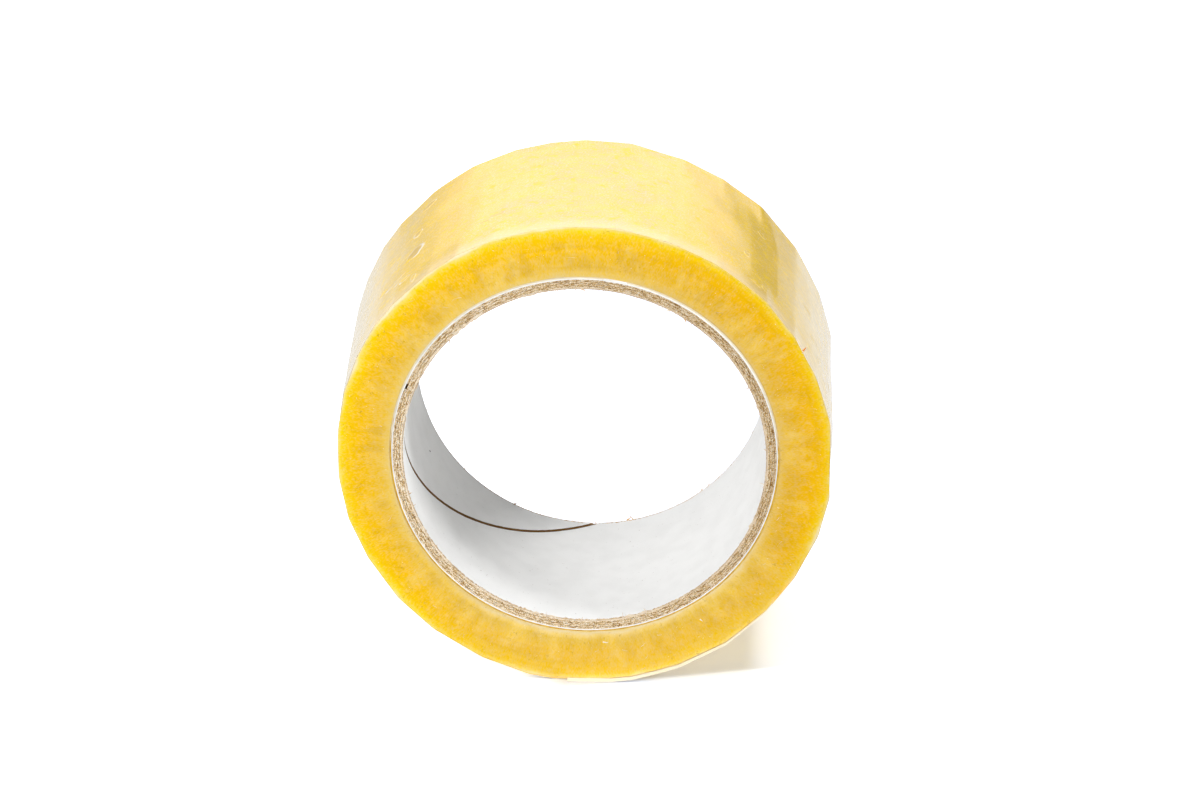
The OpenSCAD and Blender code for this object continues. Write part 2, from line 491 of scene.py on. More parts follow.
def makeTapeFilm():
    material, tree = newMaterial("tapeFilm")
    place, noise = onRoll(tree, tapeFilm)
    cloud, patch = noise["cloud"], noise["patch"]
    colour = lay(tapeFilm["gold"], cloud, *tapeFilm["pale"])
    # painted sheen over the top: the last turns are laid milky there, in patches that lie along the turn, partly for
    # air between them and partly for the pale look of the mirroring top
    airAndSheen = place["Up"] + (cloud - 0.5) * tapeFilm["airyCloud"]
    colour = lay(colour, airAndSheen, *tapeFilm["milk"], within=patch.step(*tapeFilm["milkPatch"]))
    # border and side are painted light: a highlight along the front rim and the reflection on the flanks
    layers = {"mottled": noise["mottle"] * 0.4 + patch * 0.6, "dashed": noise["dash"], "speckled": noise["speckle"],
              "dry": noise["speckle"], "marked": noise["mark"], "border": place["Across"], "side": abs(place["Right"])}
    for layer, value in layers.items():
        colour = lay(colour, value, *tapeFilm[layer])
    for name, tone in (("blisterEdge", "rim"), ("blisterInside", "hollow")):
        colour = mixColour(attribute(tree, name), colour, tapeFilm[tone])
    coat = cloud.step(*tapeFilm["coat"])
    for key, limits in tapeFilm["wet"].items():
        coat = coat - noise[key].step(*limits)
    relief = cloud + noise["dash"] * tapeFilm["dashRelief"]
    return dress(material, tapeFilm, colour, cloud, relief, {"Coat Weight": coat.calc("MAXIMUM", 0.0)})


looseFilm = {
    # the border is a painted highlight along both edges of the strip
    "tint": (252, 214, 88), "clear": ((253, 220, 106), 0.4, 0.65), "border": (253, 251, 246),
    "thin": 0.86, "thick": 0.96,  # how much of what lies behind is covered
    "borderRange": (halfW - 0.5, halfW + 0.1), "borderCover": 0.95, "body": (0.35, 0.65),
    "roughness": (0.3, 0.7, 0.12, 0.27), "stickyRoughness": (0.3, 0.7, 0.35, 0.5), "bump": (0.2, 0.0001),
    "shader": {"IOR": 1.55, "Coat Roughness": 0.05, "Coat Weight": 0.6},
    "noises": {"streak": (8, 0, 0.5, 4, 41), "fine": (45, 0, 2, 2, 43)},
}


def makeLooseFilm(name, look):
    material, tree = newMaterial(name)
    place, noise = onRoll(tree, look)
    streak, fine = noise["streak"], noise["fine"]
    # painted highlight: the strip is laid white along both edges, where its cut edges catch the light
    border = abs(place["Across"]).step(*look["borderRange"])
    colour = mixColour(border, lay(look["tint"], streak, *look["clear"]), look["border"])
    body = (streak * 0.6 + fine * 0.4).step(*look["body"], look["thin"], look["thick"])
    alpha = body.calc("MAXIMUM", border * look["borderCover"])
    return dress(material, look, colour, fine, streak, {"Alpha": alpha})


linerPaper = {
    "white": (247, 247, 246), "shade": ((243, 243, 242), 0.35, 0.7), "speck": ((150, 140, 130), 0.73, 0.8, 0.5),
    "lip": (224, 198, 160), "lipDark": ((170, 136, 96), 0.4, 0.65), "lipWidth": 0.45, "lipRagged": 1.6,
    "soaked": ((128, 98, 62), 0.16, 0.06), "soakedRagged": 0.25,
    "roughness": (0.3, 0.7, 0.5, 0.66), "bump": (0.1, 0.00005),
    "shader": {"IOR": 1.45, "Specular IOR Level": 0.3},
    "noises": {"ragged": (60, 0.6, 0.3, 3, 8)},
}


def makeLinerPaper():
    material, tree = newMaterial("linerPaper")
    place, noise = onRoll(tree, linerPaper)
    ragged, pulp = noise["ragged"], useGroup(tree, paperPulp, Fibres=0.5)
    colour = lay(linerPaper["white"], pulp["Cloud"], *linerPaper["shade"])
    colour = lay(colour, pulp["Speck"], *linerPaper["speck"])
    # the cut ends are torn open to the brown board
    edge = abs(place["Across"]) - halfW + (ragged - 0.5) * linerPaper["lipRagged"]
    lip, width = lay(linerPaper["lip"], pulp["Fibre"], *linerPaper["lipDark"]), linerPaper["lipWidth"]
    colour = lay(colour, edge, lip, -width, -width * 0.4)
    # darker brown beside the seam
    seam = attribute(tree, "fromSeam") + (ragged - 0.5) * linerPaper["soakedRagged"]
    colour = lay(colour, seam, *linerPaper["soaked"])
    return dress(material, linerPaper, colour, pulp["Cloud"], pulp["Fibre"] * 0.5 + pulp["Cloud"] * 0.3)


coreBoard = {
    "pulp": [(0.0, (138, 96, 44)), (0.25, (209, 168, 102)), (0.5, (238, 210, 160)), (0.75, (249, 234, 204)),
             (1.0, (254, 249, 240))],
    "pulpRange": (0.38, 0.62), "along": 0.46, "fine": 0.54,
    "speck": ((72, 54, 38), 0.65, 0.71, 0.9), "fleck": ((92, 66, 40), 0.67, 0.75, 0.85),
    "line": (118, 86, 50), "lineFrom": 0.17, "lineTo": 0.03, "lineDark": 0.7,  # dark glued edge of a ply
    "lineBroken": (0.4, 0.6, 0.45, 1.0),
    "lip": ((252, 240, 222), boreR + 0.55, boreR + 0.2, 0.85), "lipRagged": 0.9,  # torn pale fibre at the bore
    "rightTint": (236, 230, 220), "rightRange": (-0.9, 1.1), "rightUp": 0.4,  # painted shade: the board darker and browner towards the right, away from the light
    # painted shade in the seam slots: the board's faces inside the core, seen only down a slot, are laid dark brown
    "glue": ((112, 78, 40), halfW - 0.3, halfW - 0.5),
    "roughness": (0.3, 0.7, 0.78, 0.95), "bump": (0.12, 0.0001),
    "shader": {"IOR": 1.4, "Specular IOR Level": 0.2},
    "noises": {"along": (36, 7, 0.4, 3, 0), "fine": (210, 5.5, 1, 2, 9),
               "fleck": (85, 9, 0.5, 1, 17), "line": (9, 0, 0, 3, 4)},
}


# the oval as nodes: the cosine of twice the way round from its long side, out of the products of right and up
def ovalNodes(place):
    right, up = place["Right"], place["Up"]
    height, turn = rollShape["ovalHeight"], 2 * rollShape["ovalAt"]
    return right * up * (2 * height * math.sin(turn)) + (right * right - up * up) * (height * math.cos(turn))


def makeCoreBoard(name, rIn, seed):
    material, tree = newMaterial(name)
    place, noise = onRoll(tree, coreBoard, seed)
    pulp = useGroup(tree, paperPulp, Fibres=0.7, Seed=seed)
    along, fine, line = noise["along"], noise["fine"], noise["line"]
    mixed = along * coreBoard["along"] + fine * coreBoard["fine"]
    colour = colourRamp(mixed.step(*coreBoard["pulpRange"]), coreBoard["pulp"])
    colour = lay(colour, pulp["Speck"], *coreBoard["speck"])
    colour = lay(colour, noise["fleck"], *coreBoard["fleck"])
    # darker glued edge of the ply, broken along the way round
    plyRadius = place["Radius"] - ovalNodes(place)
    lineFrom, lineTo = rIn + coreBoard["lineFrom"], rIn + coreBoard["lineTo"]
    inEdge = (plyRadius + (along - 0.5) * 0.5).step(lineFrom, lineTo, 0.0, coreBoard["lineDark"])
    colour = mixColour(inEdge * line.step(*coreBoard["lineBroken"]), colour, coreBoard["line"])
    colour = lay(colour, plyRadius + (line - 0.5) * coreBoard["lipRagged"], *coreBoard["lip"])
    # painted shade: darker towards the right
    boardShadeRight = (place["Up"] * coreBoard["rightUp"] + place["Right"]).step(*coreBoard["rightRange"])
    colour = mixColour(boardShadeRight, colour, coreBoard["rightTint"], "MULTIPLY")
    # painted shade: dark brown down the seam slots, away from the cut ends
    colour = lay(colour, abs(place["Across"]), *coreBoard["glue"])
    return dress(material, coreBoard, colour, pulp["Cloud"], fine + along * 0.5)


coverPaper = {
    "white": (254, 253, 250), "grey": ((226, 218, 206), 0.54, 0.74, 0.6), "fibre": ((226, 218, 206), 0.6, 0.8, 0.4),
    "roughness": (0.3, 0.7, 0.55, 0.75), "bump": (0.3, 0.00006), "shader": {"IOR": 1.45},
    "noises": {"along": (20, 1, 0.3, 3, 14)},
}


def makeCoverPaper():
    material, tree = newMaterial("coverPaper")
    pulp = useGroup(tree, paperPulp, Fibres=0.8, Seed=2.0)
    along = woundNoises(tree, coverPaper)["along"]
    colour = lay(coverPaper["white"], along, *coverPaper["grey"])
    colour = lay(colour, pulp["Fibre"], *coverPaper["fibre"])
    return dress(material, coverPaper, colour, pulp["Cloud"], pulp["Fibre"])


firstTurns = {
    "film": (208, 158, 26), "bright": ((230, 188, 62), 0.4, 0.64),
    "white": ((240, 228, 200), -0.02, 0.2),  # paper fibre of the core, smeared over them on the upper half
    "roughness": (0.3, 0.7, 0.4, 0.65), "bump": (0.2, 0.00005), "shader": {"IOR": 1.5},
    "noises": {"along": (24, 2, 0.3, 3, 21)},
    "more": 0.1, "relief": 0.05, "wave": 0.012,
}


def makeFirstTurns():
    material, tree = newMaterial("firstTurns")
    place, noise = onRoll(tree, firstTurns)
    along = noise["along"]
    film = lay(firstTurns["film"], along, *firstTurns["bright"])
    colour = lay(film, place["Up"] + (along - 0.5) * 0.5, *firstTurns["white"])
    return dress(material, firstTurns, colour, along, along)


edgeMaterial, filmMaterial = makeTapeEdge(), makeTapeFilm()
looseMaterial = makeLooseFilm("looseFilm", looseFilm)
stickyMaterial = makeLooseFilm("stickySide", {**looseFilm, "roughness": looseFilm["stickyRoughness"]})
linerMaterial, coverMaterial, firstMaterial = makeLinerPaper(), makeCoverPaper(), makeFirstTurns()
print("materials made")


coreShape = {
    "lead": 164.0,  # advance of the ply helix in one turn
    "glue": 0.03,
    # angle at the front, width
    "linerSeam": (166, 1.5), "boardSeams": [(292, 0.2), (38, 0.2), (231, 0.35), (157, 1.6)], "coverSeam": (84.5, 0.3),
    "seamWobble": 0.1, "plyWave": 0.02, "fray": 0.035, "frayDepth": 0.22, "lip": 0.6,
    "feather": 0.11, "featherWidth": 0.3, "coverMore": 0.07, "coverProud": 0.1,
    "lapFrom": math.radians(20), "lapTo": math.radians(84), "lapHeight": 0.05,  # the cover lies double here
    "flakeFrom": math.radians(77.3), "flakeHeight": 0.32,
}


# rows across the width, closer together towards both ends
def rowsAcross(count):
    t = np.linspace(-1, 1, count)
    return (np.sign(t) * (1 - (1 - np.abs(t)) ** 1.6))[None, :, None]


# a ply is a strip bent round the axis; its two edges run along a helix and leave a gap
def plyBlock(rIn, rOut, seam, counts, seed, lip=0.0, feather=0.0, lapIn=0.0, lapOut=0.0, proud=0.0):
    shape = coreShape
    nS, nY, nR = counts
    close = np.linspace(0, 0.006, 14)  # more points beside the seam
    s = np.concatenate([close, np.linspace(0.008, 0.992, nS), 1 - close[::-1]])[:, None, None]
    rows, out = rowsAcross(nY), np.linspace(0, 1, nR)[None, None, :]
    across = (rows + 1) / 2
    gap = seam[1] / rIn
    start = math.radians(seam[0]) + fullTurn * (rows + 1) * halfW / shape["lead"]
    wobble = shape["seamWobble"] / rIn * smoothNoise(0 * rows, across, (3, 40), seed + 5)
    theta = start + gap / 2 + wobble + s * (fullTurn - gap)
    around, turned = theta / fullTurn, theta % fullTurn
    # frayed cut ends
    end = np.exp(-(1 - np.abs(rows)) * halfW / shape["frayDepth"])
    fray = smoothNoise(around, out, (620, 3), seed) + 0.7 * smoothNoise(around, out, (170, 2), seed + 1)
    y = rows * halfW - np.sign(rows) * end * np.abs(shape["fray"] * fray)
    r = rIn + (rOut - rIn) * out + oval(theta) + shape["plyWave"] * smoothNoise(around, across, (40, 6), seed + 2)
    ragged = 0.6 * smoothNoise(around, 0 * out, (300, 1), seed + 3)
    ragged = ragged + 0.9 * smoothNoise(around, 0 * out, (57, 1), seed + 4)
    r = r - lip * np.clip(ragged - np.where(rows < 0, 0.35, 0.75), 0, 1.2) * end * (1 - out)
    # thinner at the seam, and double where the cover laps
    fromSeam = np.minimum(s, 1 - s) * fullTurn * rIn
    r = r + feather * (1 - out) * np.exp(-(fromSeam / shape["featherWidth"]) ** 2)
    lapped = smoothStep(shape["lapFrom"], shape["lapFrom"] + 0.14, turned) * (turned < shape["lapTo"])
    flake = (turned > shape["flakeFrom"]) * lapped * end
    r = r - lapIn * lapped * (1 - out) + (lapOut * lapped + (lapOut > 0) * shape["flakeHeight"] * flake) * out
    points = polarPoints(r, theta, y + np.sign(rows) * end * proud * (1 + 0.6 * flake))
    return points, np.broadcast_to(fromSeam, r.shape)


def makeCore():
    shape, glue = coreShape, coreShape["glue"]
    points, fromSeam = plyBlock(boreR, plyR[0], shape["linerSeam"], (680, 48, 3), 100, feather=shape["feather"])
    verts, faces, used = blockShell(points)
    piece = makePiece("linerPaper", verts, faces, linerMaterial, ["core_liner"],
                      attributes={"fromSeam": fromSeam.reshape(-1)[used]})
    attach(piece, "roll")
    for k, seam in enumerate(shape["boardSeams"]):
        rIn, last = plyR[k] + glue, k == 3
        points, _ = plyBlock(rIn, plyR[k + 1] - last * shape["coverMore"], seam, (900, 22, 4), 200 + 10 * k,
                             lip=shape["lip"] * (k == 0), lapOut=-shape["lapHeight"] * last)
        material = makeCoreBoard("coreBoard%d" % (k + 1), rIn, 3.0 + k)
        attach(makeBlock("boardPly%d" % (k + 1), points, material, boardNodes[k]), "roll")
    points, _ = plyBlock(plyR[4] + glue - shape["coverMore"], plyR[5], shape["coverSeam"], (900, 22, 3), 300,
                         lapIn=shape["lapHeight"] - 0.01, lapOut=0.03, proud=shape["coverProud"])
    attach(makeBlock("coverPaper", points, coverMaterial, "core_cover"), "roll")


makeCore()
print("core made")


windShape = {
    "around": 720, "across": 22, "out": 40,
    "turnRelief": 0.05, "turnCells": (3, 60), "waveRelief": 0.06, "waveCells": (37, 7),  # unevenness of the two faces
    "proud": 0.02, "rimRound": 0.04, "rimRoundWidth": 0.5,
    "bedGap": 0.04,
}


def anglesRound(count):
    return np.linspace(0, fullTurn, count, endpoint=False)[:, None, None]


# the first turns are a thin ring with uneven ends
def makeFirstRing():
    theta, rows, out = anglesRound(900), rowsAcross(16), np.linspace(0, 1, 3)[None, None, :]
    around = theta / fullTurn
    rIn, rOut = plyR[5] + coreShape["glue"], firstR + firstTurns["more"]
    relief = firstTurns["relief"] * np.abs(smoothNoise(around, out, (300, 2), 41))
    y = rows * halfW - np.sign(rows) * np.abs(rows) ** 30 * relief
    r = rIn + (rOut - rIn) * out + oval(theta) + firstTurns["wave"] * smoothNoise(around, (rows + 1) / 2, (50, 3), 42)
    points = polarPoints(r, theta, y)
    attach(makeBlock("firstTurns", points, firstMaterial, "tape_first_turns", True), "roll")


# the main winding: from the first turns out to the lumpy rim, its faces uneven turn by turn
def makeWinding():
    shape = windShape
    theta, rows, t = anglesRound(shape["around"]), rowsAcross(shape["across"]), np.linspace(0, 1, shape["out"])
    out = (0.5 * t + 0.25 * (1 - np.cos(math.pi * t)))[None, None, :]
    rIn = firstR + firstTurns["more"] + shape["bedGap"] + oval(theta)
    rOut = windR(theta, rows * halfW)
    r = rIn + (rOut - rIn) * out

    def relief(seed):
        turns = shape["turnRelief"] * smoothNoise(theta / fullTurn, out, shape["turnCells"], seed)
        return turns + shape["waveRelief"] * smoothNoise(theta / fullTurn, out, shape["waveCells"], seed + 1)

    nearRim = np.clip(1 - (rOut - r) / shape["rimRoundWidth"], 0, 1) ** 2 * shape["rimRound"]
    front, back = relief(51) + shape["proud"] + nearRim, relief(53) - shape["proud"] - nearRim
    y = rows * halfW + np.abs(rows) ** 24 * np.where(rows < 0, front, back)
    points = polarPoints(r, theta, y)
    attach(makeBlock("tapeWinding", points, edgeMaterial, "tape_winding", True), "roll")


outerTurn = {
    "around": 640, "across": 70, "low": 0.02, "high": 0.07,  # height over the winding
    "tailShift": 0.3, "tailRun": math.radians(34), "headRun": math.radians(20), "waver": 0.03,
}
looseEnd = {
    "along": 130, "across": 56, "span": math.radians(54),
    "gap": 0.04, "lift": 0.1, "adhesive": 0.02, "film": 0.055,
    "headShift": 0.5, "shift": 1.2, "askew": 0.6, "waver": 0.02,  # how far it stands out of the front face
    "bendLength": 9.0,
}
endAt = peelAt - looseEnd["span"]


# the last stuck turn: a strip that follows the wound surface from the peel line round to the cut end
def makeOuterTurn():
    shape = outerTurn
    theta = (peelAt + np.linspace(0, fullTurn - looseEnd["span"], shape["around"]))[:, None, None]
    rows = np.linspace(-1, 1, shape["across"])[None, :, None]
    height = np.array([shape["low"], shape["high"]])[None, None, :]
    tail = smoothStep(endAt + fullTurn - shape["tailRun"], endAt + fullTurn, theta)
    head = smoothStep(peelAt + shape["headRun"], peelAt, theta)
    y = rows * halfW - shape["tailShift"] * tail - looseEnd["headShift"] * head
    y = y + shape["waver"] * smoothNoise(theta / fullTurn, 0 * rows, (90, 1), 61)
    points = polarPoints(windR(theta, rows * halfW, height), theta, y)
    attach(makeBlock("tapeOuterTurn", points, filmMaterial, "tape_outer_turn"), "roll")


# the loosened end: lifted off the winding along a half sine wave, lying flat at the foot, and run a little askew
def makeLooseEnd():
    shape = looseEnd
    along = np.linspace(0, 1, shape["along"])[:, None, None]
    rows = np.linspace(-1, 1, shape["across"])[None, :, None]
    theta = endAt + along * shape["span"]
    uneven = 1 + 0.25 * smoothNoise(theta / fullTurn, (rows + 1) / 2, (40, 5), 71)
    lift = shape["gap"] + shape["lift"] * np.sin(math.pi * along) * uneven
    y = rows * halfW - shape["headShift"] - shape["shift"] * (1 - along) ** shape["askew"]
    y = y + shape["waver"] * smoothNoise(theta / fullTurn, 0 * rows, (120, 1), 72)
    for name, low, high, material, slot, node in (
            ("looseEndAdhesive", 0.0, shape["adhesive"], stickyMaterial, "tape_adhesive", "free_end_adhesive"),
            ("looseEndFilm", shape["adhesive"], shape["film"], looseMaterial, "tape_film", "free_end_film")):
        height = np.array([low, high])[None, None, :]
        r = windR(theta, rows * halfW, lift + height, shape["gap"] + height)
        piece = makeBlock(name, polarPoints(r, theta, y), material, node)
        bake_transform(piece)


makeFirstRing()
makeWinding()
makeOuterTurn()
makeLooseEnd()
print("tape made")


blisters = {
    # angle, place across, half length round, half width across, height, how white the rim is, how deep the inside looks
    "seen": [(134.5, -5.0, 3.0, 3.4, 0.05, 1.0, 0.8), (139.6, -11.6, 3.3, 0.6, 0.02, 1.0, 0.0),
             (137.6, -13.4, 3.4, 0.55, 0.02, 1.0, 0.0), (136.2, -15.2, 2.6, 0.6, 0.02, 0.9, 0.0),
             (133.3, -18.3, 1.0, 2.0, 0.05, 0.4, 0.15), (133.7, 6.2, 1.4, 1.7, 0.07, 0.6, 0.45),
             (131.2, 18.2, 2.2, 1.3, 0.06, 0.45, 0.5), (113.9, -11.4, 1.5, 0.9, 0.05, 0.35, 0.5),
             (110.9, -10.2, 1.7, 0.9, 0.05, 0.35, 0.5), (49.6, -7.5, 0.9, 1.5, 0.06, 0.3, 0.3)],
    # the same of the others, from the least to the most
    "others": [(-38, 262), (-22, 22), (0.6, 2.2), (0.5, 1.4), (0.02, 0.05), (0.0, 0.16), (0.0, 0.1)],
    "count": 46, "grid": 20, "seed": 81, "rimAt": 0.8, "bedded": 0.02, "clear": 0.004,
}


# a blister is a low dome with a raised rim laid on the film: a square grid drawn round to a disc of uneven outline
def makeBlisters():
    shape = blisters
    rng = np.random.default_rng(shape["seed"])
    others = np.stack([rng.uniform(*limits, shape["count"]) for limits in shape["others"]], 1)
    g = np.linspace(-1, 1, shape["grid"])
    u, v = np.meshgrid(g, g, indexing="ij")
    du, dv = u * np.sqrt(1 - v * v / 2), v * np.sqrt(1 - u * u / 2)
    rho, way = np.sqrt(du * du + dv * dv), np.arctan2(dv, du) / fullTurn
    parts, count = [], 0
    for k, (at, across, halfLong, halfWide, height, white, deep) in enumerate(np.concatenate([shape["seen"], others])):
        bend = 1 + 0.34 * smoothNoise(way, 0 * rho, (5, 1), 900 + k)
        bend = bend + 0.12 * smoothNoise(way, 0 * rho, (11, 1), 950 + k)
        theta, y = math.radians(at) + du * bend * halfLong / rimR, across + dv * bend * halfWide
        dome = 0.55 * (1 - rho ** 2) + np.exp(-((rho - shape["rimAt"]) / 0.1) ** 2)
        rise = height * dome * smoothStep(1.0, 0.88, rho)
        top = windR(theta, y, outerTurn["high"] + shape["clear"] + rise)
        low = windR(theta, y, outerTurn["high"] - shape["bedded"])
        verts, faces, used = blockShell(polarPoints(np.stack([low, top], -1), theta[..., None], y[..., None]))
        broken = smoothStep(-0.7, 0.2, smoothNoise(way, 0 * rho, (6, 1), 700 + k))
        rim = white * broken * np.exp(-((rho - shape["rimAt"]) / 0.13) ** 2)
        marks = np.stack([rim, deep * smoothStep(0.86, 0.6, rho)], -1)
        parts.append((verts, faces + count, marks[:, :, None].repeat(2, 2).reshape(-1, 2)[used]))
        count += len(verts)
    verts, faces, marks = (np.concatenate(column) for column in zip(*parts))
    piece = makePiece("airBlisters", verts, faces, filmMaterial,
                      attributes={"blisterEdge": marks[:, 0], "blisterInside": marks[:, 1]})
    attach(piece, "roll")


def unit(vectors):
    return vectors / np.linalg.norm(vectors, axis=1, keepdims=True)


# strands: a line that bends as the square of its length, with four corners round it that draw in towards the tip
def strandShell(roots, ways, bends, lengths, widths, thick, steps=6):
    t = np.linspace(0, 1, steps)[None, :, None]
    centre = roots[:, None] + lengths[:, None, None] * (ways[:, None] * t + bends[:, None] * t * t)
    side = unit(np.cross(ways, bends))
    up = np.cross(side, ways)
    half = widths[:, None, None] / 2 * (1 - 0.75 * t)
    corners = [centre + half * (a * side[:, None] + b * thick * up[:, None])
               for a, b in ((1, 1), (-1, 1), (-1, -1), (1, -1))]
    n = len(roots)
    index = np.arange(n * steps * 4).reshape(n, steps, 4)
    caps = np.concatenate([index[:, 0, :4], index[:, -1, 3::-1]])
    walls = quads(np.concatenate([index, index[:, :, :1]], 2))
    return np.stack(corners, 2).reshape(-1, 3), np.concatenate([walls, caps])


def makeStrands(name, strands, material, attributes=None):
    verts, faces = strands
    piece = makePiece(name, verts, faces, material, attributes=attributes)
    work = bmesh.new()
    work.from_mesh(piece.data)
    bmesh.ops.recalc_face_normals(work, faces=work.faces)
    work.to_mesh(piece.data)
    work.free()
    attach(piece, "roll")


# unit vectors outward and round at each angle
def waysAt(theta):
    zero = 0 * theta
    return np.stack([np.cos(theta), zero, np.sin(theta)], 1), np.stack([-np.sin(theta), zero, np.cos(theta)], 1)


shreds = {
    "count": 260, "length": (0.25, 0.9), "width": (0.08, 0.3), "thick": 0.25, "seed": 91,
    "onFront": 0.6, "onLip": 0.75, "sunk": 0.06,
    # angle and end of the larger ones
    "large": [(243, 1), (281.4, 1), (283.6, 1), (308.6, 1), (311.2, 1), (136.5, -1), (155.6, -1), (98, -1), (91, -1),
              (62, -1), (57, -1), (282, -1), (290, -1)],
    "largeLength": 1.1, "largeWidth": 0.5,
    "tan": (214, 182, 138), "white": ((242, 234, 222), 0.42, 0.58), "brown": ((150, 116, 78), 0.45, 0.3, 0.6),
    "roughness": (0.3, 0.7, 0.7, 0.9), "shader": {"IOR": 1.4},
}


def makeShredPaper():
    material, tree = newMaterial("shredPaper")
    pulp = useGroup(tree, paperPulp, Fibres=0.7, Seed=6.0)
    colour = lay(shreds["tan"], pulp["Cloud"], *shreds["white"])
    colour = lay(colour, pulp["Fibre"], *shreds["brown"])
    return dress(material, shreds, colour, pulp["Fibre"])


# torn paper shreds at the two cut ends of the core, strands that lie most of them on the lip of the bore
def makeShreds():
    rng = np.random.default_rng(shreds["seed"])
    n = shreds["count"]
    theta = rng.uniform(0, fullTurn, n)
    face = np.where(rng.random(n) < shreds["onFront"], -1.0, 1.0)
    lip = rng.random(n) < shreds["onLip"]
    large = np.array(shreds["large"], float)
    first = slice(len(large))
    theta[first], face[first], lip[first] = np.radians(large[:, 0]), large[:, 1], True
    r = np.where(lip, boreR + rng.uniform(-0.02, 0.3, n), rng.uniform(boreR + 0.3, plyR[4], n)) + oval(theta)
    roots = polarPoints(r, theta, face * (halfW - shreds["sunk"]))
    outward, roundWay = waysAt(theta)
    inward, outFace = -outward, face[:, None] * [0.0, 1.0, 0.0]
    ways = np.where(lip[:, None], inward * rng.uniform(0.2, 1.0, (n, 1)), 0)
    ways = ways + roundWay * rng.uniform(-1.4, 1.4, (n, 1)) + outFace * rng.uniform(0.05, 0.4, (n, 1))
    bends = outFace * rng.uniform(-0.3, 0.3, (n, 1)) + inward * rng.uniform(-0.4, 0.6, (n, 1)) + 0.01
    lengths, widths = rng.uniform(*shreds["length"], n), rng.uniform(*shreds["width"], n)
    lengths[first], widths[first] = shreds["largeLength"], shreds["largeWidth"]
    strands = strandShell(roots, unit(ways), bends, lengths, widths, shreds["thick"])
    makeStrands("coreShreds", strands, makeShredPaper())


lint = {
    "count": 70, "length": (0.4, 1.8), "width": (0.03, 0.09), "thick": 0.5, "steps": 8, "seed": 95,
    "onFront": 0.6, "clear": 0.02, "curl": (0.1, 0.6), "curlTurn": 1.4,
    "white": (250, 246, 236), "grey": ((214, 208, 204), 0.4, 0.6), "roughness": (0.3, 0.7, 0.5, 0.8),
    "shader": {"IOR": 1.45},
}


def makeLint():
    material, tree = newMaterial("lint")
    pulp = useGroup(tree, paperPulp, Fibres=0.2, Seed=9.0)
    colour = lay(lint["white"], pulp["Cloud"], *lint["grey"])
    return dress(material, lint, colour, pulp["Fibre"])


# lint caught by the sticky edges of the turns, strands that lie flat on both faces
def makeLintPiece():
    rng = np.random.default_rng(lint["seed"])
    n = lint["count"]
    theta = rng.uniform(0, fullTurn, n)
    face = np.where(rng.random(n) < lint["onFront"], -1.0, 1.0)
    r = rng.uniform(firstR + 0.6, rimR - 0.8, n) + oval(theta)
    roots = polarPoints(r, theta, face * (halfW + lint["clear"]))
    spin = rng.uniform(0, fullTurn, n)
    ways, bends = polarPoints(1.0, spin, face * 0.02), polarPoints(1.0, spin + lint["curlTurn"], face * 0.04)
    bends = bends * rng.uniform(*lint["curl"], (n, 1))
    lengths, widths = rng.uniform(*lint["length"], n), rng.uniform(*lint["width"], n)
    strands = strandShell(roots, ways, bends, lengths, widths, lint["thick"], lint["steps"])
    makeStrands("tapeLint", strands, makeLint())


flecks = {
    # angle, radius, place across; the way it lies and its curl, each as round, outward, across; length, width, tone
    "seen": [(203.5, 38.04, 10.5, 1, 0, 0.5, 0, -0.1, 0, 0.5, 0.34, 0.0),
             (275.2, 43.4, -24.08, 1, 0.2, 0, 0, 0, -0.05, 1.1, 0.3, 1.0),
             (303.2, 44.6, -24.08, 0.3, 1, 0, 0, 0, -0.05, 0.7, 0.3, 1.0),
             (28.7, 51.9, -23.9, 0.5, 1, 0, 0, 0, -0.2, 1.2, 0.4, 0.6),
             (246.6, 51.6, -24.1, 0.1, 1, 0, 1.1, -0.1, -0.02, 1.5, 0.09, 0.3)],
    "tones": [(0.0, (44, 36, 30)), (0.3, (206, 192, 190)), (0.6, (236, 138, 34)), (1.0, (253, 250, 240))],
    "thick": 0.3, "steps": 8, "roughness": (0.3, 0.7, 0.5, 0.8), "shader": {"IOR": 1.45},
}


def makeFleckMaterial():
    material, tree = newMaterial("strayFleck")
    pulp = useGroup(tree, paperPulp, Fibres=0.4, Seed=12.0)
    colour = colourRamp((pulp["Cloud"] - 0.5) * 0.1 + attribute(tree, "tone"), flecks["tones"])
    return dress(material, flecks, colour, pulp["Fibre"])


# a few single flecks, strands laid on the liner, the front face and the rim
def makeFlecks():
    rows, steps = np.array(flecks["seen"], float), flecks["steps"]
    theta = np.radians(rows[:, 0])
    outward, roundWay = waysAt(theta)
    axes = np.stack([roundWay, outward, np.broadcast_to([0.0, 1.0, 0.0], outward.shape)], 1)
    roots = outward * (rows[:, 1] + oval(theta))[:, None] + rows[:, 2:3] * axes[:, 2]
    ways, bends = (np.einsum("nk,nkc->nc", rows[:, k:k + 3], axes) for k in (3, 6))
    strands = strandShell(roots, unit(ways), bends, rows[:, 9], rows[:, 10], flecks["thick"], steps)
    makeStrands("strayFlecks", strands, makeFleckMaterial(), {"tone": rows[:, 11].repeat(steps * 4)})


makeBlisters()
makeShreds()
makeLintPiece()
makeFlecks()
print("small things made")


